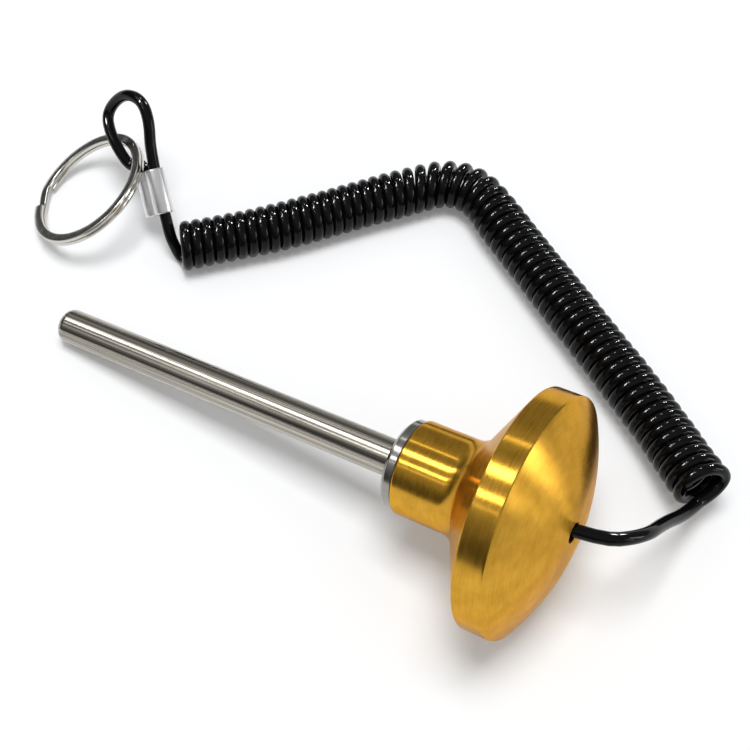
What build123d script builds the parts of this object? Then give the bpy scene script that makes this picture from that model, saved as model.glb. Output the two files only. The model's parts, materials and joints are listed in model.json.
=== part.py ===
from build123d import *

import os
from math import asin, atan2, cos, degrees, dist, hypot, pi, radians, sin, tan

# Magnetic weight stack pin with a coiled tether cord and a split ring.
#
# Millimetres. The pin lies on the floor as it comes to rest: the rounded tip and
# the rim of the knob touch z = 0, the pin points along -X and Z is up. The origin
# is under the middle of the rigid pin, and the cord lies behind it at +Y.

# ---- selector pin: 3/8 inch ground stainless bar, pressed into the knob ----
PIN_D = 9.525
PIN_REACH = 108.0           # magnet face to tip, 4 1/4 inch
PIN_SEAT = 20.0             # length held inside the knob
TIP_ROUND = 2.6
PIN_CHAMFER = 0.5
BOND_GROOVE_D = 8.7         # under the magnet, holds the glue

# ---- knob: turned from one aluminium bar, hub to dome ----
HUB_D = 24.2
RIM_D = 61.0
RIM_START = 27.2            # hub face to the near edge of the rim band
RIM_WIDTH = 7.0
FLARE_ANGLE = 60.0          # underside of the rim, measured from the axis
FLARE_ROUND = 6.0           # where the hub runs into the flare
DOME_RISE = 8.5
EDGE_BREAK = 0.35
CAVITY_DEPTH = 28.0         # bore from the hub face to the shoulder
CORD_HOLE_D = 5.8

# ---- pot magnet on the hub face ----
CUP_D = 23.1
CUP_T = 3.2
CUP_CHAMFER = 0.9
MAGNET_D = 19.6
MAGNET_T = 2.2

# ---- cord, its coil and the crimps on it ----
CORD_D = 3.2
COIL_D = 13.6
STOP_D = 8.4
STOP_L = 4.5
SLEEVE_D = 5.6              # each barrel of the double ferrule
SLEEVE_L = 12.7
SLEEVE_CHAMFER = 0.25
SLEEVE_LIP = 0.8            # stands past the cord's cut end

# ---- split ring: flat spring wire, two turns ----
RING_D = 38.0
WIRE_W = 2.6
WIRE_T = 1.3
WIRE_ROUND = 0.25
STEP_ANGLE = 24.0           # taken by the step from one turn to the next
RING_LEAN = 30.8            # from lying flat
RING_FACES = 201.2          # compass direction that the raised face looks to
RING_AT = (-94.1, 37.6)
STEP_TOWARDS = (-0.866, -0.5, -0.58)

# ---- the cord's route, point by point ----
LEAD_EXIT_RUN = 5.0         # straight out of the dome before the first point
LEAD_ROUTE = [(89.5, 8.8, 29.4), (94.0, 21.5, 17.5), (99.6, 34.4, 7.0), (93.2, 39.2, 5.4)]
COIL_ROUTE = [
    (92.4, 39.8, 10.4), (84.4, 45.8, 8.4), (72.7, 54.0, 7.4), (46.2, 70.2, 6.8),
    (17.6, 86.3, 6.8), (-3.0, 98.7, 6.8), (-19.4, 81.2, 6.8), (-41.0, 56.6, 6.8),
    (-58.05, 39.55, 6.8),
]
TAIL_ROUTE = [
    (-58.05, 39.55, 2.4), (-63.0, 34.6, 2.4), (-66.54, 37.57, 8.4), (-79.66, 50.46, 22.21),
    (-82.27, 55.37, 29.3), (-86.9, 58.84, 32.15), (-94.65, 60.24, 28.86), (-100.24, 57.99, 20.34),
    (-96.4, 53.2, 18.8), (-90.05, 49.6, 15.4), (-86.2, 49.0, 12.8), (-82.27, 49.38, 17.33),
    (-73.94, 41.19, 8.56),
]
SLEEVE_FROM = 5.6           # where the sleeve starts, past the third point of the tail

# ---- worked out ----
hub_r = HUB_D / 2
rim_r = RIM_D / 2
pin_r = PIN_D / 2
rim_end = RIM_START + RIM_WIDTH
apex = rim_end + DOME_RISE
tip = CUP_T + PIN_REACH


def cylinder_x(x0, x1, diameter):
    """A round bar on the X axis from x0 to x1."""
    return Pos((x0 + x1) / 2, 0, 0) * Rot(0, 90, 0) * Cylinder(diameter / 2, x1 - x0)


def washer_x(x0, x1, outer, inner):
    """A plain ring on the X axis from x0 to x1."""
    return cylinder_x(x0, x1, outer) - cylinder_x(x0, x1, inner)


def rod(start, end, diameter):
    """A round bar between two points."""
    heading = Vector(*end) - Vector(*start)
    plane = Plane(origin=start, z_dir=heading)
    return extrude(plane * Circle(diameter / 2), heading.length)


def step_along(start, end, distance):
    """The point a given distance from start towards end."""
    share = distance / dist(start, end)
    return tuple(s + share * (e - s) for s, e in zip(start, end))


def tube(name, points, diameter):
    """A round tube along straight runs joined by tangent arcs, as large as the runs allow."""
    radii = []
    for before, at, after in zip(points, points[1:], points[2:]):
        turn = (Vector(*at) - Vector(*before)).get_angle(Vector(*after) - Vector(*at))
        radii.append(0.45 * min(dist(before, at), dist(at, after)) / tan(radians(turn / 2)))
    path = FilletPolyline(*points, radius=radii)
    section = Plane(origin=path @ 0, z_dir=path % 0) * Circle(diameter / 2)
    solid = sweep(section, path=path)
    share = solid.volume / (pi * diameter**2 / 4 * path.length)
    runs = [round(dist(a, b), 1) for a, b in zip(points, points[1:])]
    print(name, "radii", [round(r, 1) for r in radii], "runs", runs)
    print(name, "length", round(path.length, 1), "volume over section times length", round(share, 4))
    return solid


def knob_blank():
    """Hub, flare, rim band and dome, turned in one piece about the X axis."""
    flare_at = RIM_START - (rim_r - hub_r) / tan(radians(FLARE_ANGLE))
    dome_r = (rim_r**2 + DOME_RISE**2) / (2 * DOME_RISE)
    half = asin(rim_r / dome_r) / 2
    crown = (apex - dome_r + dome_r * cos(half), dome_r * sin(half))
    sides = Polyline((apex, 0), (0, 0), (0, hub_r), (flare_at, hub_r), (RIM_START, rim_r), (rim_end, rim_r))
    dome = ThreePointArc((rim_end, rim_r), crown, (apex, 0))
    half_section = make_face(sides + dome)

    def corner(x, r):
        return half_section.vertices().sort_by_distance((x, r, 0))[0]

    half_section = fillet(corner(flare_at, hub_r), FLARE_ROUND)
    half_section = chamfer(corner(0, hub_r), EDGE_BREAK)
    half_section = fillet(corner(RIM_START, rim_r), EDGE_BREAK)
    half_section = fillet(corner(rim_end, rim_r), EDGE_BREAK)
    return revolve(half_section, Axis.X)


# ---- turned pieces, built on the X axis with the hub face at x = 0 ----
knob = knob_blank() - cylinder_x(0, CAVITY_DEPTH, PIN_D) - cylinder_x(CAVITY_DEPTH, apex, CORD_HOLE_D)

selector_pin = cylinder_x(-tip, PIN_SEAT, PIN_D)
pin_ends = selector_pin.edges().filter_by(GeomType.CIRCLE).sort_by(Axis.X)
selector_pin = fillet(pin_ends[0], TIP_ROUND)
pin_ends = selector_pin.edges().filter_by(GeomType.CIRCLE).sort_by(Axis.X)
selector_pin = chamfer(pin_ends[-1], PIN_CHAMFER)
selector_pin -= washer_x(-CUP_T, MAGNET_T - CUP_T, PIN_D + 1, BOND_GROOVE_D)

cup_disc = cylinder_x(-CUP_T, 0, CUP_D)
cup_disc = chamfer(cup_disc.edges().filter_by(GeomType.CIRCLE).sort_by(Axis.X)[0], CUP_CHAMFER)
magnet_cup = cup_disc - cylinder_x(-CUP_T, 0, PIN_D) - cylinder_x(-CUP_T, MAGNET_T - CUP_T, MAGNET_D)
ring_magnet = washer_x(-CUP_T, MAGNET_T - CUP_T, MAGNET_D, PIN_D)

cord_stop = washer_x(CAVITY_DEPTH - STOP_L, CAVITY_DEPTH, STOP_D, CORD_D)

# ---- lie down: the tip's rounding and the rim's near edge both touch the floor ----
rim_edge = RIM_START + EDGE_BREAK * tan(radians(FLARE_ANGLE / 2))
run = rim_edge + tip - TIP_ROUND
rise = (rim_r - EDGE_BREAK) - (pin_r - TIP_ROUND)
lean = atan2(rise, run) - asin((TIP_ROUND - EDGE_BREAK) / hypot(run, rise))
lift = (rim_r - EDGE_BREAK) * cos(lean) + EDGE_BREAK - rim_edge * sin(lean)
leaning = Rot(0, -degrees(lean), 0)
span = (leaning * (knob + selector_pin)).bounding_box()
lying = Pos(-(span.min.X + span.max.X) / 2, 0, lift) * leaning

# ---- cord: out of the dome, along the coil, and back into its own crimp as an eye ----
stop_end = tuple((lying * Pos(CAVITY_DEPTH - STOP_L, 0, 0)).position)
lead_out = tuple((lying * Pos(apex + LEAD_EXIT_RUN, 0, 0)).position)
cord_lead = tube("cord_lead", [stop_end, lead_out] + LEAD_ROUTE, CORD_D)
cord_coil = tube("cord_coil", COIL_ROUTE, COIL_D)
cord_tail = tube("cord_tail", TAIL_ROUTE, CORD_D)

# ---- double-barrel ferrule crimped round the outgoing and the returning strand ----
barrels = []
bores = []
for start, onward, skip in (TAIL_ROUTE[2:4] + [SLEEVE_FROM], TAIL_ROUTE[:-3:-1] + [-SLEEVE_LIP]):
    near = step_along(start, onward, skip)
    far = step_along(start, onward, skip + SLEEVE_L)
    barrel = rod(near, far, SLEEVE_D)
    barrels.append(chamfer(barrel.edges().filter_by(GeomType.CIRCLE), SLEEVE_CHAMFER))
    bores.append(rod(near, far, CORD_D))
ferrule = barrels[0] + barrels[1] - bores

# ---- split ring, flat on the XY plane first, its step across the +X axis ----
wire_r = (RING_D - WIRE_W) / 2
half_step = STEP_ANGLE / 2


def wire_section(angle, height):
    """The flat wire's section, standing across the ring at an angle and height."""
    out = (cos(radians(angle)), sin(radians(angle)), 0)
    plane = Plane(origin=(wire_r * out[0], wire_r * out[1], height), x_dir=out, z_dir=(-out[1], out[0], 0))
    return plane * RectangleRounded(WIRE_W, WIRE_T, WIRE_ROUND)


upper_turn = revolve(wire_section(half_step, WIRE_T / 2), Axis.Z, 360 - STEP_ANGLE)
lower_turn = revolve(wire_section(half_step, -WIRE_T / 2), Axis.Z, 360 - STEP_ANGLE)
step_sections = [wire_section(half_step * s, -WIRE_T / 2 * sin(s * pi / 2)) for s in (-1, -0.5, 0, 0.5, 1)]
flat_ring = upper_turn + lower_turn + loft(step_sections)

tilt = radians(RING_LEAN)
facing = radians(RING_FACES)
ring_normal = Vector(sin(tilt) * cos(facing), sin(tilt) * sin(facing), cos(tilt))
ring_height = RING_D / 2 * sin(tilt) + WIRE_T * cos(tilt)
towards = Vector(*STEP_TOWARDS)
towards -= ring_normal * towards.dot(ring_normal)
split_ring = Plane(origin=(*RING_AT, ring_height), x_dir=towards, z_dir=ring_normal) * flat_ring

pieces = {
    "knob": lying * knob,
    "selector_pin": lying * selector_pin,
    "magnet_cup": lying * magnet_cup,
    "ring_magnet": lying * ring_magnet,
    "cord_stop": lying * cord_stop,
    "cord_lead": cord_lead,
    "cord_coil": cord_coil,
    "cord_tail": cord_tail,
    "ferrule": ferrule,
    "split_ring": split_ring,
}

os.makedirs("parts", exist_ok=True)
for name, piece in pieces.items():
    piece.label = name
    export_step(piece, f"parts/{name}.step")
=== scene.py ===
import json
from bisect import bisect_right
from math import atan2, cos, pi, radians, sin, tan

import bmesh
import bpy
from mathutils import Matrix, Quaternion, Vector


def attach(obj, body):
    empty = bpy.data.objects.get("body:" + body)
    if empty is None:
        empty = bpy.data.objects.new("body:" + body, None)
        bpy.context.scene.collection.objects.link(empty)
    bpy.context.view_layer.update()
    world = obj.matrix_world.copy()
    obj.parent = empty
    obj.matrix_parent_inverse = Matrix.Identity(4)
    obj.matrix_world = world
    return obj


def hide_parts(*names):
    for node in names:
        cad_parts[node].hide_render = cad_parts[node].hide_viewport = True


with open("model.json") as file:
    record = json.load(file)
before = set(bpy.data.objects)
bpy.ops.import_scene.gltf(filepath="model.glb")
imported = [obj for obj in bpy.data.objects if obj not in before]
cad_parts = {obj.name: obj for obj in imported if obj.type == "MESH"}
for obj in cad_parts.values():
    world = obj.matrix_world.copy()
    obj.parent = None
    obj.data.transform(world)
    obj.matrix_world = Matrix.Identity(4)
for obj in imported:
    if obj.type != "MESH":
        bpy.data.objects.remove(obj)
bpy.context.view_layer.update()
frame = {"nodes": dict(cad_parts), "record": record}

bpy.ops.object.select_all(action="DESELECT")

# ---- Camera ----
# Looks down on the knob and the coil from in front, a little to the right of the
# pin's middle.
camera_place = (0.10326, -0.14007, 0.33260)
look_off_plumb = radians(30.65)
look_round = radians(30.03)
bpy.ops.object.camera_add(location=camera_place, rotation=(look_off_plumb, 0, look_round))
camera = bpy.context.object
camera.data.lens = 68.06
camera.data.sensor_width = 36.0
bpy.context.scene.camera = camera

# ---- Tether cord ----
# One length of thin steel rope in a smooth black polyurethane sheath, held by a
# stop inside the knob. It comes out through the dome, is wound hot into a closed
# coil, and its far end is folded into an eye.
mounts = {mount["name"]: mount for mount in frame["record"]["mounts"]}
to_tip = Vector(mounts["shaft"]["axis"])
to_dome = -to_tip
cup_thick = 0.0032
hub_face = Vector(mounts["magnet_face"]["pos_m"])
hub_face.y = 0  # that mount stands beside the pin's axis, which is at Y 0
hub_face += cup_thick * to_dome
rim_x = 0.0272
band_wide = 0.0070
dome_rise = 0.0085
apex_x = rim_x + band_wide + dome_rise

cord_wide = 0.0032
coil_wide = 0.0136
stop_x = 0.0235
straight_out = 0.0050
lead_points = [
    hub_face + stop_x * to_dome,
    hub_face + (apex_x + straight_out) * to_dome,
    (0.0895, 0.0088, 0.0294),
    (0.0917, 0.0195, 0.0195),
    (0.0944, 0.0268, 0.0128),
    (0.0959, 0.0321, 0.0098),
    (0.0965, 0.0347, 0.0090),
    (0.0977, 0.0370, 0.0092),
    (0.0989, 0.0398, 0.0097),
]
coil_points = [
    (0.0962, 0.0373, 0.0120),
    (0.0915, 0.0404, 0.0108),
    (0.0846, 0.0461, 0.0090),
    (0.0727, 0.0541, 0.0080),
    (0.0458, 0.0695, 0.0077),
    (0.0172, 0.0857, 0.0074),
    (-0.0035, 0.0981, 0.0072),
    (-0.0194, 0.0812, 0.0071),
    (-0.0406, 0.0562, 0.0071),
    (-0.0508, 0.0462, 0.0071),
    (-0.0616, 0.0360, 0.0071),
]
tail_points = [
    (-0.0628, 0.0360, 0.0018),
    (-0.0652, 0.0368, 0.0058),
    (-0.06654, 0.03757, 0.0084),
    (-0.07966, 0.05046, 0.02221),
    (-0.08227, 0.05537, 0.0293),
    (-0.0869, 0.05884, 0.03215),
    (-0.09465, 0.06024, 0.02886),
    (-0.10024, 0.05799, 0.02034),
    (-0.0964, 0.0532, 0.0188),
    (-0.09005, 0.0496, 0.0154),
    (-0.0862, 0.0490, 0.0128),
    (-0.08227, 0.04938, 0.01733),
    (-0.07886, 0.04603, 0.01374),
    (-0.07394, 0.04119, 0.00856),
]


def spline(name, points, fine):
    """A smooth open curve with these control points."""
    curve = bpy.data.curves.new(name, "CURVE")
    curve.dimensions = "3D"
    line = curve.splines.new("NURBS")
    line.points.add(len(points) - 1)
    for at, point in zip(line.points, points):
        at.co = (*point, 1.0)
    line.order_u = 3
    line.use_endpoint_u = True
    line.resolution_u = fine
    piece = bpy.data.objects.new(name, curve)
    bpy.context.scene.collection.objects.link(piece)
    return piece


def run_of(points, fine):
    """Where a smooth curve with these control points runs."""
    curve = spline("run", points, fine)
    mesh = bpy.data.meshes.new_from_object(curve)
    line = [vertex.co.copy() for vertex in mesh.vertices]
    bpy.data.meshes.remove(mesh)
    bpy.data.curves.remove(curve.data)
    return line


axis_line = run_of(coil_points, 24)
axis_marks = [0.0]
for here, there in zip(axis_line, axis_line[1:]):
    axis_marks.append(axis_marks[-1] + (there - here).length)


def on_axis(distance):
    """The point that far along the coil's axis, straight on past its ends."""
    i = min(max(bisect_right(axis_marks, distance), 1), len(axis_marks) - 1)
    share = (distance - axis_marks[i - 1]) / (axis_marks[i] - axis_marks[i - 1])
    return axis_line[i - 1].lerp(axis_line[i], share)


turn_reach = 0.017


def heading_at(distance):
    """Where a turn faces: the turns share out the bend among more of them than the axis does."""
    return (on_axis(distance + turn_reach) - on_axis(distance - turn_reach)).normalized()


def bend_at(distance):
    """How fast the turns swing round there, per metre."""
    near = 0.002
    return heading_at(distance - near).angle(heading_at(distance + near)) / (2 * near)


def wander(turns, waves):
    """A share that wanders round one along the coil. Each wave has a size, a pace and a start."""
    return 1 + sum(size * sin(pace * turns + start) for size, pace, start in waves)


# The turns lie close along the inside of the bend and fan out on its outside. The
# first ones stand a little apart and the leg beside the knob is swollen, and spacing
# and width wander as a coil's do after use.
coil_r = (coil_wide - cord_wide) / 2
turn_points = 14
coil_turns = 61.7
steps = round(coil_turns * turn_points)
slice_long = 0.0005
slices = int(axis_marks[-1] / slice_long)
inside_long = sum(slice_long * (1 - coil_r * bend_at(slice_long * (i + 0.5))) for i in range(slices))
first_gap = 0.25
spacing_waves = ((0.020, 0.88, 0), (0.012, 0.44, 2))
spread = []
for i in range(steps):
    turns = i / turn_points
    spread.append((1 + first_gap * 0.5**turns) * wander(turns, spacing_waves))
pitch = inside_long / (sum(spread) / turn_points)

knob_leg = 0.118
least_swell = 1.025
knob_swell = 0.115
swell_fade = 0.6
width_waves = ((0.010, 0.62, 1), (0.006, 1.67, 0))
coil = []
along = 0.0
for i in range(steps + 1):
    heading = heading_at(along)
    side = heading.cross(Vector((0, 0, 1))).normalized()
    up = side.cross(heading)
    turns = i / turn_points
    angle = 2 * pi * turns
    swell = least_swell + knob_swell * max(0, 1 - along / knob_leg) ** swell_fade
    reach = swell * coil_r / cos(pi / turn_points) * wander(turns, width_waves)
    coil.append(on_axis(along) + reach * (cos(angle) * side + sin(angle) * up))
    if i < steps:
        along += pitch * spread[i] / turn_points / (1 - coil_r * bend_at(along))

cord_points = lead_points + coil + tail_points
lead_swell = 1.07
tail_swell = 1.02
cord = spline("cord", cord_points, 6)
cord.data.bevel_depth = cord_wide / 2
cord.data.bevel_resolution = 6
cord.data.use_fill_caps = True
for i, at in enumerate(cord.data.splines[0].points):
    if i < len(lead_points):
        at.radius = lead_swell
    elif i >= len(lead_points) + len(coil):
        at.radius = tail_swell
cord_run = run_of(cord_points, 8)


def material(name, colour, metal, rough):
    """A new material and its shader, with the plain values set."""
    new = bpy.data.materials.new(name)
    new.use_nodes = True
    shader = new.node_tree.nodes["Principled BSDF"]
    shader.inputs["Base Color"].default_value = (*colour, 1)
    shader.inputs["Metallic"].default_value = metal
    shader.inputs["Roughness"].default_value = rough
    return new, shader


def add(mat, kind, **settings):
    """A new node of a material or the world, with its settings."""
    node = mat.node_tree.nodes.new(kind)
    for key, value in settings.items():
        setattr(node, key, value)
    return node


black_sheath, sheath = material("black_sheath", (0.0025, 0.0025, 0.0028), 0.0, 0.09)
sheath.inputs["Specular IOR Level"].default_value = 0.15
place = add(black_sheath, "ShaderNodeTexCoord")
haze = add(black_sheath, "ShaderNodeTexNoise")
haze.inputs["Scale"].default_value = 260
haze.inputs["Detail"].default_value = 4
haze_range = add(black_sheath, "ShaderNodeMapRange")
haze_range.inputs["To Min"].default_value = 0.05
haze_range.inputs["To Max"].default_value = 0.11
link = black_sheath.node_tree.links.new
link(place.outputs["Object"], haze.inputs["Vector"])
link(haze.outputs["Fac"], haze_range.inputs["Value"])
link(haze_range.outputs["Result"], sheath.inputs["Roughness"])
cord.data.materials.append(black_sheath)
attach(cord, "root")
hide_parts("cord_lead", "cord_coil", "cord_tail")

# ---- Knob ----
# Turned from one bar of aluminium: a hub to hold on to, a flare, a straight rim
# band and a low dome, drilled through for the cord. Brushed round its axis and
# anodised gold.
lying = Matrix.Translation(hub_face) @ Matrix.Rotation(atan2(-to_dome.z, to_dome.x), 4, "Y")


def turned(name, rings, sides):
    """A turned piece along X: a circle drawn out ring by ring, the last one joined to the first."""
    x, r = rings[0]
    bpy.ops.mesh.primitive_circle_add(vertices=sides, radius=r, location=(x, 0, 0), rotation=(0, pi / 2, 0))
    piece = bpy.context.object
    piece.name = name
    bpy.ops.object.transform_apply()
    bpy.ops.object.mode_set(mode="EDIT")
    bpy.ops.mesh.select_all(action="SELECT")
    for next_x, next_r in rings[1:] + rings[:1]:
        bpy.ops.mesh.extrude_region_move(TRANSFORM_OT_translate={"value": (next_x - x, 0, 0)})
        if next_r != r:
            bpy.ops.transform.resize(value=(1, next_r / r, next_r / r), center_override=(next_x, 0, 0))
        x, r = next_x, next_r
    bpy.ops.mesh.select_all(action="SELECT")
    bpy.ops.mesh.remove_doubles(threshold=1e-6)
    bpy.ops.mesh.normals_make_consistent(inside=False)
    return piece


def pick_ring(piece, x, r):
    """Selects one ring of edges on a turned piece."""
    bpy.ops.mesh.select_all(action="DESELECT")
    mesh = bmesh.from_edit_mesh(piece.data)
    on_ring = [abs(vertex.co.x - x) < 1e-5 and abs((vertex.co.y**2 + vertex.co.z**2) ** 0.5 - r) < 1e-5
               for vertex in mesh.verts]
    for edge in mesh.edges:
        if all(on_ring[vertex.index] for vertex in edge.verts):
            edge.select_set(True)
    bmesh.update_edit_mesh(piece.data)


def round_ring(piece, x, r, offset, segments):
    """Rounds one ring of edges, back to a distance from it on both sides."""
    pick_ring(piece, x, r)
    bpy.ops.mesh.bevel(offset=offset, segments=segments, profile=0.5, offset_type="OFFSET")


def laid(piece):
    """Closes the work on a turned piece and lays it where the pin lies."""
    bpy.ops.object.mode_set(mode="OBJECT")
    bpy.ops.object.shade_smooth_by_angle(angle=radians(35))
    piece.matrix_world = lying
    bpy.ops.object.transform_apply()
    bpy.ops.object.select_all(action="DESELECT")


hub_r = 0.0121
rim_r = 0.0305
band_x = rim_x + band_wide
flare_lean = radians(60)
flare_x = rim_x - (rim_r - hub_r) / tan(flare_lean)
flare_long = (rim_r - hub_r) / sin(flare_lean)
dome_r = (rim_r**2 + dome_rise**2) / (2 * dome_rise)
bore_r = 0.0047625
bore_deep = 0.028
hole_r = 0.0025

# Each straight length has a ring just short of its rounded ends, so that it stays
# straight there.
by_edge = 0.0006
by_flare = 0.0040
rings = [(bore_deep, bore_r), (0, bore_r), (0, hub_r), (by_edge, hub_r)]
rings += [(flare_x - by_flare, hub_r), (flare_x, hub_r)]
for up_flare in (by_flare, flare_long - by_edge, flare_long):
    rings.append((flare_x + up_flare * cos(flare_lean), hub_r + up_flare * sin(flare_lean)))
rings += [(rim_x + by_edge, rim_r), (band_x - by_edge, rim_r), (band_x, rim_r)]
dome_rings = 26
for i in range(1, dome_rings + 1):
    r = rim_r + (hole_r - rim_r) * i / dome_rings
    rings.append((apex_x - dome_r + (dome_r**2 - r**2) ** 0.5, r))
hole_x = rings[-1][0]
rings.append((bore_deep, hole_r))
neck_r = 0.006
broken_edge = 0.00035
dome_edge = 0.00025
hole_edge = 0.0003
knob = turned("knob_visual", rings, 192)
round_ring(knob, flare_x, hub_r, neck_r * tan(flare_lean / 2), 14)
round_ring(knob, 0, hub_r, broken_edge, 3)
round_ring(knob, rim_x, rim_r, broken_edge * tan(flare_lean / 2), 4)
round_ring(knob, band_x, rim_r, dome_edge, 4)
round_ring(knob, hole_x, hole_r, hole_edge, 4)
laid(knob)

gold, gold_shader = material("gold_anodising", (0.65, 0.34, 0.04), 1.0, 0.20)
gold_shader.inputs["Anisotropic"].default_value = 0.85
gold_shader.inputs["Coat Weight"].default_value = 0.05
gold_shader.inputs["Coat Roughness"].default_value = 0.22
gold_shader.inputs["Specular Tint"].default_value = (0.86, 0.68, 0.50, 1)
link = gold.node_tree.links.new


def lathe_space(mat):
    """Where a point is on a turned piece: X along the axis from the hub face, Y and Z across it."""
    where = add(mat, "ShaderNodeTexCoord")
    turned_space = add(mat, "ShaderNodeMapping", vector_type="TEXTURE")
    turned_space.inputs["Location"].default_value = hub_face
    turned_space.inputs["Rotation"].default_value = (0, atan2(-to_dome.z, to_dome.x), 0)
    mat.node_tree.links.new(where.outputs["Object"], turned_space.inputs["Vector"])
    return turned_space.outputs["Vector"]


def maths(mat, operation, first, second=None):
    """One sum on numbers or sockets."""
    node = add(mat, "ShaderNodeMath", operation=operation)
    for socket, value in zip(node.inputs, (first, second)):
        if isinstance(value, (int, float)):
            socket.default_value = value
        elif value is not None:
            mat.node_tree.links.new(value, socket)
    return node.outputs["Value"]


def vectors(mat, operation, first, second=None):
    """One sum on vectors or sockets."""
    node = add(mat, "ShaderNodeVectorMath", operation=operation)
    for socket, value in zip(node.inputs, (first, second)):
        if isinstance(value, (tuple, Vector)):
            socket.default_value = value
        elif value is not None:
            mat.node_tree.links.new(value, socket)
    return node.outputs["Vector"]


stroke_long = 0.0015
darkest_at = 0.36
tone_slope = 0.78


def tool_marks(mat, shader, fine, depth, rough, colours, satin_past=None, satin_more=0.0):
    """Fine strokes round the axis, left by turning and brushing: in the height, the roughness
    and the colour. Past satin_past, the surface is rougher by satin_more."""
    link = mat.node_tree.links.new
    space = lathe_space(mat)
    parts = add(mat, "ShaderNodeSeparateXYZ")
    link(space, parts.inputs["Vector"])
    across = maths(mat, "POWER", parts.outputs["Y"], 2.0)
    across = maths(mat, "ADD", across, maths(mat, "POWER", parts.outputs["Z"], 2.0))
    radius = maths(mat, "SQRT", across)
    strokes = add(mat, "ShaderNodeCombineXYZ")
    link(maths(mat, "SUBTRACT", radius, parts.outputs["X"]), strokes.inputs["X"])
    for side in ("Y", "Z"):
        round_way = maths(mat, "DIVIDE", parts.outputs[side], radius)
        link(maths(mat, "MULTIPLY", round_way, stroke_long), strokes.inputs[side])
    ringed = add(mat, "ShaderNodeTexNoise")
    ringed.inputs["Scale"].default_value = fine
    ringed.inputs["Detail"].default_value = 5
    ringed.inputs["Roughness"].default_value = 0.65
    link(strokes.outputs["Vector"], ringed.inputs["Vector"])
    bump = add(mat, "ShaderNodeBump")
    bump.inputs["Strength"].default_value = 0.6
    bump.inputs["Distance"].default_value = depth
    link(ringed.outputs["Fac"], bump.inputs["Height"])
    link(bump.outputs["Normal"], shader.inputs["Normal"])
    rough_range = add(mat, "ShaderNodeMapRange")
    rough_range.inputs["From Min"].default_value = 0.3
    rough_range.inputs["From Max"].default_value = 0.7
    rough_range.inputs["To Min"].default_value = rough[0]
    rough_range.inputs["To Max"].default_value = rough[1]
    link(ringed.outputs["Fac"], rough_range.inputs["Value"])
    roughness = rough_range.outputs["Result"]
    if satin_past is not None:
        past = maths(mat, "GREATER_THAN", parts.outputs["X"], satin_past)
        roughness = maths(mat, "ADD", roughness, maths(mat, "MULTIPLY", past, satin_more))
    link(roughness, shader.inputs["Roughness"])
    patches = add(mat, "ShaderNodeTexNoise")
    patches.inputs["Scale"].default_value = 260
    patches.inputs["Detail"].default_value = 5
    link(space, patches.inputs["Vector"])
    tone = maths(mat, "ADD", ringed.outputs["Fac"], patches.outputs["Fac"])
    tone = maths(mat, "MULTIPLY", maths(mat, "SUBTRACT", tone, darkest_at), tone_slope)
    tint = add(mat, "ShaderNodeMix", data_type="RGBA")
    tint.inputs["A"].default_value = (*colours[0], 1)
    tint.inputs["B"].default_value = (*colours[1], 1)
    link(tone, tint.inputs["Factor"])
    link(tint.outputs["Result"], shader.inputs["Base Color"])
    surface = add(mat, "ShaderNodeNewGeometry")
    centred = add(mat, "ShaderNodeTexCoord")
    from_axis = vectors(mat, "SUBTRACT", centred.outputs["Object"], hub_face)
    brushed_way = vectors(mat, "CROSS_PRODUCT", to_dome, from_axis)
    grain = vectors(mat, "CROSS_PRODUCT", surface.outputs["Normal"], brushed_way)
    link(vectors(mat, "NORMALIZE", grain), shader.inputs["Tangent"])


tool_marks(gold, gold_shader, fine=2600, depth=0.000004, rough=(0.14, 0.26),
           colours=((0.40, 0.195, 0.015), (0.83, 0.460, 0.058)), satin_past=band_x, satin_more=0.12)
knob.data.materials.append(gold)
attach(knob, "root")
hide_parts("knob")

# ---- Selector pin ----
# Ground stainless bar, 3/8 inch, pressed into the knob and rounded at its tip so
# that it finds the holes of the weight plates.
pin_r = bore_r
tip_x = -0.1112
tip_round = 0.0026
pressed_x = 0.02
pressed_edge = 0.0005
centre_r = 0.0001
pin_rings = [(tip_x, centre_r), (tip_x, pin_r), (tip_x + tip_round + by_edge, pin_r),
             (pressed_x - 2 * pressed_edge, pin_r), (pressed_x, pin_r), (pressed_x, centre_r)]
pin = turned("pin_visual", pin_rings, 128)
round_ring(pin, tip_x, pin_r, tip_round, 12)
round_ring(pin, pressed_x, pin_r, pressed_edge, 2)
laid(pin)

steel, steel_shader = material("ground_steel", (0.38, 0.355, 0.305), 1.0, 0.12)
link = steel.node_tree.links.new
lengthwise = 0.005
drawn_way = add(steel, "ShaderNodeMapping")
drawn_way.inputs["Scale"].default_value = (lengthwise, 1, 1)
link(lathe_space(steel), drawn_way.inputs["Vector"])
lines = add(steel, "ShaderNodeTexNoise")
lines.inputs["Scale"].default_value = 1700
lines.inputs["Detail"].default_value = 3
link(drawn_way.outputs["Vector"], lines.inputs["Vector"])
line_depth = add(steel, "ShaderNodeMapRange")
line_depth.inputs["From Min"].default_value = 0.36
line_depth.inputs["From Max"].default_value = 0.64
link(lines.outputs["Fac"], line_depth.inputs["Value"])
line_bump = add(steel, "ShaderNodeBump")
line_bump.inputs["Distance"].default_value = 0.000007
link(lines.outputs["Fac"], line_bump.inputs["Height"])
link(line_bump.outputs["Normal"], steel_shader.inputs["Normal"])
line_rough = add(steel, "ShaderNodeMapRange")
line_rough.inputs["To Min"].default_value = 0.12
line_rough.inputs["To Max"].default_value = 0.32
link(line_depth.outputs["Result"], line_rough.inputs["Value"])
link(line_rough.outputs["Result"], steel_shader.inputs["Roughness"])
line_tint = add(steel, "ShaderNodeMix", data_type="RGBA")
line_tint.inputs["A"].default_value = (0.17, 0.158, 0.134, 1)
line_tint.inputs["B"].default_value = (0.56, 0.523, 0.455, 1)
link(line_depth.outputs["Result"], line_tint.inputs["Factor"])
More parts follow.
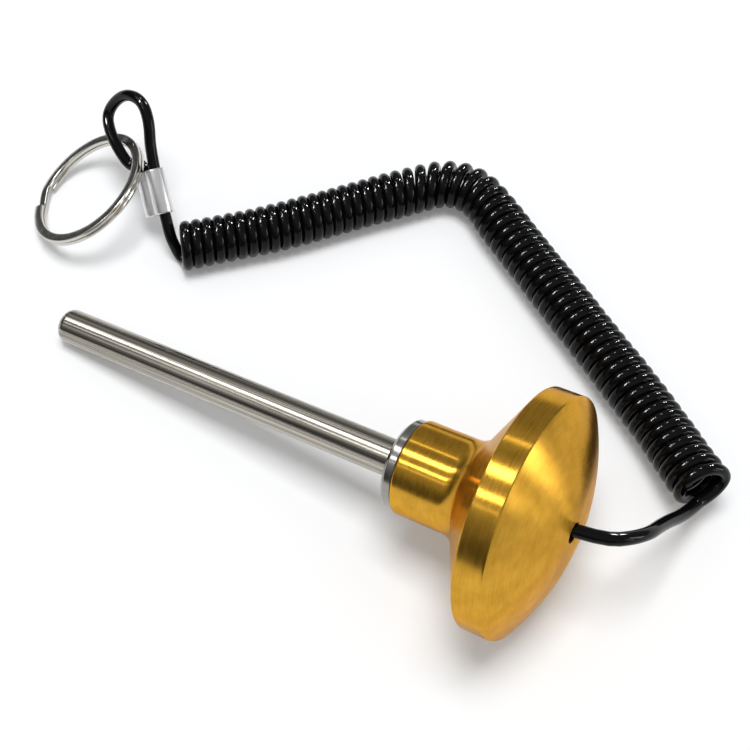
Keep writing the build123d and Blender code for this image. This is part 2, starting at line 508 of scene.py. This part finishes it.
link(line_tint.outputs["Result"], steel_shader.inputs["Base Color"])
pin.data.materials.append(steel)
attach(pin, "root")
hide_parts("selector_pin")

# ---- Magnet cup and ring magnet ----
# A pressed steel cup, bright nickel plated, glued to the hub round the pin. It
# holds a sintered ring magnet flush with its open face, towards the tip.
cup_r = 0.01155
pocket_r = 0.0098
pocket_x = -0.0010
glue_gap = 0.0003
groove_deep = 0.0005
glue_r = cup_r - groove_deep
slope = 0.0009
cup_edge = 0.00012
cup_rings = [(0, pin_r), (0, glue_r), (-glue_gap, glue_r), (-glue_gap, cup_r), (-2 * glue_gap, cup_r),
             (-cup_thick + slope + glue_gap, cup_r), (-cup_thick, cup_r), (-cup_thick, pocket_r),
             (pocket_x, pocket_r), (pocket_x, pin_r)]
cup = turned("magnet_cup_visual", cup_rings, 128)
pick_ring(cup, -cup_thick, cup_r)
bpy.ops.mesh.bevel(offset=slope, segments=1, offset_type="OFFSET")
round_ring(cup, -cup_thick + slope, cup_r, cup_edge, 3)
round_ring(cup, -cup_thick, cup_r - slope, cup_edge, 3)
round_ring(cup, -glue_gap, cup_r, cup_edge, 3)
laid(cup)

plated, plated_shader = material("nickel_plate", (0.32, 0.31, 0.285), 1.0, 0.2)
tool_marks(plated, plated_shader, fine=3000, depth=0.000002, rough=(0.10, 0.20),
           colours=((0.24, 0.232, 0.21), (0.40, 0.39, 0.36)))
cup.data.materials.append(plated)
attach(cup, "root")
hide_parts("magnet_cup")

sintered, sintered_shader = material("sintered_magnet", (0.05, 0.05, 0.052), 0.6, 0.5)
tool_marks(sintered, sintered_shader, fine=900, depth=0.00001, rough=(0.4, 0.6),
           colours=((0.035, 0.035, 0.037), (0.09, 0.09, 0.092)))
magnet = frame["nodes"]["ring_magnet"]
magnet.data.materials.clear()
magnet.data.materials.append(sintered)

# ---- Cord stop ----
# A short aluminium sleeve crimped on the cord inside the knob. It bears on the
# shoulder behind the dome's hole.
stop_metal, stop_shader = material("stop_aluminium", (0.75, 0.75, 0.76), 1.0, 0.35)
tool_marks(stop_metal, stop_shader, fine=1500, depth=0.000004, rough=(0.3, 0.42),
           colours=((0.66, 0.66, 0.67), (0.78, 0.78, 0.79)))
stop = frame["nodes"]["cord_stop"]
stop.data.materials.clear()
stop.data.materials.append(stop_metal)

# ---- Ferrule ----
# A double-barrel aluminium crimp, pressed round the outgoing strand and the cord's
# own end to close the eye. Satin, with softly rounded mouths.
sleeve_r = 0.0028
sleeve_long = 0.0127
strand_hole_r = 0.00166
hole_past = 0.002
mouth_round = 0.0004

# For each strand: a point on it, another one further on, and how far past the first
# one its barrel starts.
out_strand = (tail_points[2], tail_points[3], 0.0056)
end_strand = (tail_points[-1], tail_points[-3], -0.0008)


def barrel(name, start, onward, skip, radius, extra=0.0):
    """A round bar along a strand, as long as a barrel and any extra."""
    start = Vector(start)
    way = (Vector(onward) - start).normalized()
    middle = start + way * (skip + sleeve_long / 2)
    bpy.ops.mesh.primitive_cylinder_add(vertices=64, radius=radius, depth=sleeve_long + extra, location=middle,
                                        rotation=way.to_track_quat("Z", "Y").to_euler())
    piece = bpy.context.object
    piece.name = name
    bpy.ops.object.transform_apply()
    return piece


def combine(piece, other, how):
    """Joins another solid to a piece or cuts it out of it."""
    bpy.context.view_layer.objects.active = piece
    change = piece.modifiers.new(how, "BOOLEAN")
    change.operation = how
    change.object = other
    change.solver = "EXACT"
    bpy.ops.object.modifier_apply(modifier=change.name)
    bpy.data.objects.remove(other)


barrels = []
for name, strand in (("ferrule_visual", out_strand), ("second_barrel", end_strand)):
    sleeve = barrel(name, *strand, sleeve_r)
    bpy.ops.object.mode_set(mode="EDIT")
    bpy.ops.mesh.select_all(action="DESELECT")
    shape = bmesh.from_edit_mesh(sleeve.data)
    for edge in shape.edges:
        if any(len(face.verts) > 4 for face in edge.link_faces):
            edge.select_set(True)
    bmesh.update_edit_mesh(sleeve.data)
    bpy.ops.mesh.bevel(offset=mouth_round, segments=5, offset_type="OFFSET")
    bpy.ops.object.mode_set(mode="OBJECT")
    barrels.append(sleeve)
ferrule = barrels[0]
combine(ferrule, barrels[1], "UNION")
for strand in (out_strand, end_strand):
    combine(ferrule, barrel("strand_hole", *strand, strand_hole_r, 2 * hole_past), "DIFFERENCE")
bpy.context.view_layer.objects.active = ferrule
ferrule.select_set(True)
bpy.ops.object.shade_smooth_by_angle(angle=radians(45))
bpy.ops.object.select_all(action="DESELECT")

satin, satin_shader = material("satin_aluminium", (0.80, 0.80, 0.81), 1.0, 0.3)
place = add(satin, "ShaderNodeTexCoord")
drawn = add(satin, "ShaderNodeTexNoise")
drawn.inputs["Scale"].default_value = 900
drawn.inputs["Detail"].default_value = 6
drawn_range = add(satin, "ShaderNodeMapRange")
drawn_range.inputs["To Min"].default_value = 0.24
drawn_range.inputs["To Max"].default_value = 0.42
drawn_bump = add(satin, "ShaderNodeBump")
drawn_bump.inputs["Strength"].default_value = 0.3
drawn_bump.inputs["Distance"].default_value = 0.00002
link = satin.node_tree.links.new
link(place.outputs["Object"], drawn.inputs["Vector"])
link(drawn.outputs["Fac"], drawn_range.inputs["Value"])
link(drawn_range.outputs["Result"], satin_shader.inputs["Roughness"])
link(drawn.outputs["Fac"], drawn_bump.inputs["Height"])
link(drawn_bump.outputs["Normal"], satin_shader.inputs["Normal"])
ferrule.data.materials.append(satin)
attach(ferrule, "root")
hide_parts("ferrule")

# ---- Split ring ----
# Two turns of flat spring wire wound close, with a short step where the upper turn
# drops to the lower one, so that each end of the wire lies against the step. Bright
# nickel plate.
ring_d = 0.038
wire_w = 0.0026
wire_t = 0.0013
loop = mounts["split_ring_loop"]
ring_normal = Vector(loop["axis"]).normalized()
tilt = ring_normal.angle(Vector((0, 0, 1)))
# It leans on the eye, with its lowest edge on the table.
ring_at = Vector((loop["pos_m"][0], loop["pos_m"][1], ring_d / 2 * sin(tilt) + wire_t * cos(tilt)))

# The step between the turns lies on the side away from the eye.
step_way = Vector((-0.866, -0.5, -0.58))
step_way -= ring_normal * step_way.dot(ring_normal)
step_way.normalize()
step_way.rotate(Quaternion(ring_normal, radians(-12)))

wire_r = (ring_d - wire_w) / 2
wire_edge = 0.00034
step_deg = 24
turn_steps = 112
cross_steps = 12
bpy.ops.mesh.primitive_plane_add(size=1, rotation=(pi / 2, 0, 0))
ring = bpy.context.object
ring.name = "split_ring_visual"
ring.scale = (wire_w, wire_t, 1)
bpy.ops.object.transform_apply()
bpy.ops.object.mode_set(mode="EDIT")
bpy.ops.mesh.select_all(action="SELECT")
bpy.ops.mesh.bevel(offset=wire_edge, segments=4, affect="VERTICES", offset_type="OFFSET")
bpy.ops.mesh.select_all(action="SELECT")
bpy.ops.transform.translate(value=(wire_r, 0, wire_t / 2))
bpy.ops.transform.rotate(value=-radians(step_deg / 2), orient_axis="Z", center_override=(0, 0, 0))


def wind(degrees, drop):
    """Draws the wire's end on round the ring and down."""
    bpy.ops.mesh.extrude_region_move()
    bpy.ops.transform.rotate(value=-radians(degrees), orient_axis="Z", center_override=(0, 0, 0))
    bpy.ops.transform.translate(value=(0, 0, -drop))


turn_sweep = radians(360 - step_deg)
bpy.ops.mesh.spin(steps=turn_steps, angle=-turn_sweep, center=(0, 0, 0), axis=(0, 0, 1))
for i in range(cross_steps):
    before = 0.5 - 0.5 * cos(pi * i / cross_steps)
    after = 0.5 - 0.5 * cos(pi * (i + 1) / cross_steps)
    wind(step_deg / cross_steps, wire_t * (after - before))
bpy.ops.mesh.spin(steps=turn_steps, angle=-turn_sweep, center=(0, 0, 0), axis=(0, 0, 1))
bpy.ops.mesh.select_all(action="SELECT")
bpy.ops.mesh.normals_make_consistent(inside=False)
bpy.ops.object.mode_set(mode="OBJECT")
bpy.ops.object.shade_smooth_by_angle(angle=radians(40))
turned_way = Matrix((step_way, ring_normal.cross(step_way), ring_normal)).transposed()
ring.matrix_world = Matrix.Translation(ring_at) @ turned_way.to_4x4()
bpy.ops.object.transform_apply()
bpy.ops.object.select_all(action="DESELECT")

bright, bright_shader = material("bright_nickel", (0.60, 0.58, 0.535), 1.0, 0.10)
place = add(bright, "ShaderNodeTexCoord")
scuffs = add(bright, "ShaderNodeTexNoise")
scuffs.inputs["Scale"].default_value = 420
scuffs.inputs["Detail"].default_value = 6
scuffs_range = add(bright, "ShaderNodeMapRange")
scuffs_range.inputs["To Min"].default_value = 0.08
scuffs_range.inputs["To Max"].default_value = 0.24
link = bright.node_tree.links.new
link(place.outputs["Object"], scuffs.inputs["Vector"])
link(scuffs.outputs["Fac"], scuffs_range.inputs["Value"])
link(scuffs_range.outputs["Result"], bright_shader.inputs["Roughness"])
ring.data.materials.append(bright)
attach(ring, "ring")
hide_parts("split_ring")

# ---- Floor, light and surroundings ----
# White paper on a table in a dim room, with strip lamps overhead that shine in the
# metal, small lamps and windows that shine in the cord, and one soft lamp above that
# lights the paper.
bpy.ops.mesh.primitive_plane_add(size=6)
floor = bpy.context.object
floor.name = "floor"
paper, paper_shader = material("white_paper", (0.852, 0.86, 0.872), 0.0, 0.9)
paper_shader.inputs["Specular IOR Level"].default_value = 0.0
seen = add(paper, "ShaderNodeLightPath")
sight = maths(paper, "ADD", seen.outputs["Is Camera Ray"], seen.outputs["Is Glossy Ray"])
sight = maths(paper, "ADD", sight, seen.outputs["Is Transmission Ray"])
paper_glow = 0.13
glow = maths(paper, "MULTIPLY", sight, paper_glow)
paper_shader.inputs["Emission Color"].default_value = (1, 1, 1, 1)
paper.node_tree.links.new(glow, paper_shader.inputs["Emission Strength"])
floor.data.materials.append(paper)

world = bpy.data.worlds.new("studio")
bpy.context.scene.world = world
world.use_nodes = True
sky = world.node_tree.nodes["Background"]
sky.inputs["Strength"].default_value = 1.0
way = add(world, "ShaderNodeTexCoord")
way_parts = add(world, "ShaderNodeSeparateXYZ")
world.node_tree.links.new(way.outputs["Generated"], way_parts.inputs["Vector"])

# The walls and the ceiling go round the pin in bands. Degrees are counted from
# straight overhead, and grow towards the front.
forward = maths(world, "MULTIPLY", way_parts.outputs["Y"], -1.0)
roll = maths(world, "ARCTAN2", forward, way_parts.outputs["Z"])
turn_share = maths(world, "ADD", maths(world, "DIVIDE", roll, 2 * pi), 0.5)
bands = add(world, "ShaderNodeValToRGB")
world.node_tree.links.new(turn_share, bands.inputs["Fac"])
room_levels = [(-180, 0.5), (-100, 0.25), (-90, 0.28), (-75, 0.30), (-60, 0.30), (-50, 0.33), (-42, 0.48),
               (-30, 0.48), (-20, 0.32), (-5, 0.45), (5, 0.6), (15, 0.5), (25, 0.5), (38, 0.6), (48, 0.40),
               (57, 0.30), (66, 0.17), (78, 0.10), (86, 0.12), (93, 0.35)]
ramp = bands.color_ramp
while len(ramp.elements) < len(room_levels):
    ramp.elements.new(0.5)
for element, (angle, level) in zip(ramp.elements, room_levels):
    element.position = angle / 360 + 0.5
    element.color = (level, level, level, 1)
room = bands.outputs["Color"]
dome_end = (1, 0.5)
tip_end = (-1, 0.07)
for toward, level in (dome_end, tip_end):
    end = add(world, "ShaderNodeMapRange", interpolation_type="SMOOTHSTEP")
    end.inputs["From Min"].default_value = 0.72
    end.inputs["From Max"].default_value = 0.93
    world.node_tree.links.new(maths(world, "MULTIPLY", way_parts.outputs["X"], toward), end.inputs["Value"])
    wall = add(world, "ShaderNodeMix", data_type="RGBA")
    wall.inputs["B"].default_value = (level, level, level, 1)
    world.node_tree.links.new(end.outputs["Result"], wall.inputs["Factor"])
    world.node_tree.links.new(room, wall.inputs["A"])
    room = wall.outputs["Result"]
world.node_tree.links.new(room, sky.inputs["Color"])

cord_only = bpy.data.collections.new("lit_by_cord_lamps")
cord_only.objects.link(cord)


def lamp(name, place, aim, wide, tall, level, turn=0.0, use="shine"):
    """A flat lamp at a place, looking at its aim. It shines in the gloss of all pieces ("shine") or
    of the cord ("cord"), or lights the paper and throws the shadow ("shade")."""
    bpy.ops.object.light_add(type="AREA", location=place)
    new = bpy.context.object
    new.name = name
    facing = (Vector(aim) - Vector(place)).to_track_quat("-Z", "Y").to_matrix()
    facing = facing @ Matrix.Rotation(radians(turn), 3, "Z")
    new.rotation_euler = facing.to_euler()
    new.data.shape = "RECTANGLE"
    new.data.size = wide
    new.data.size_y = tall
    new.data.energy = level * pi * wide * tall
    new.visible_diffuse = use == "shade"
    new.visible_glossy = use != "shade"
    if use == "cord":
        new.light_linking.receiver_collection = cord_only


lamp_high = 1.0
for name, x, y, long, wide, turn, level, use in (
        ("strip_near", -0.83, 0.045, 1.05, 0.16, -13, 9.5, "shine"),
        ("strip_front", -0.50, -0.48, 0.36, 0.10, 0, 11, "shine"),
        ("strip_front_far", -1.01, -0.42, 0.66, 0.10, -6, 2.2, "shine"),
        ("strip_edge", -0.83, -0.76, 0.85, 0.05, 0, 1.8, "shine"),
        ("strip_back", -0.57, 0.61, 0.36, 0.08, 0, 3, "shine"),
        ("cord_strip", -0.75, -0.13, 0.56, 0.09, 56, 250, "cord")):
    lamp(name, (x, y, lamp_high), (x, y, 0.0), long, wide, level, turn, use)
knob_middle = (0.06, 0.0, 0.03)
lamp("side_panel", (0.92, 0.40, 0.25), knob_middle, 0.20, 0.50, 6)
lamp("side_gap", (0.99, 0.09, 0.25), knob_middle, 0.09, 0.50, 4)
object_middle = (0.0, 0.05, 0.0)
lamp("cord_back", (-0.54, 0.78, lamp_high), object_middle, 0.10, 0.10, 100, use="cord")
coil_middle = (0.03, 0.03, 0.03)
lamp("window_high", (0.06, 1.02, 0.62), coil_middle, 0.08, 0.08, 300, use="cord")
lamp("window_low", (0.12, 1.02, 0.42), coil_middle, 0.08, 0.08, 300, use="cord")
lamp("overhead", (0.0, 0.05, 1.2), object_middle, 0.5, 0.5, 12.3, use="shade")

bpy.context.scene.view_settings.view_transform = "Standard"
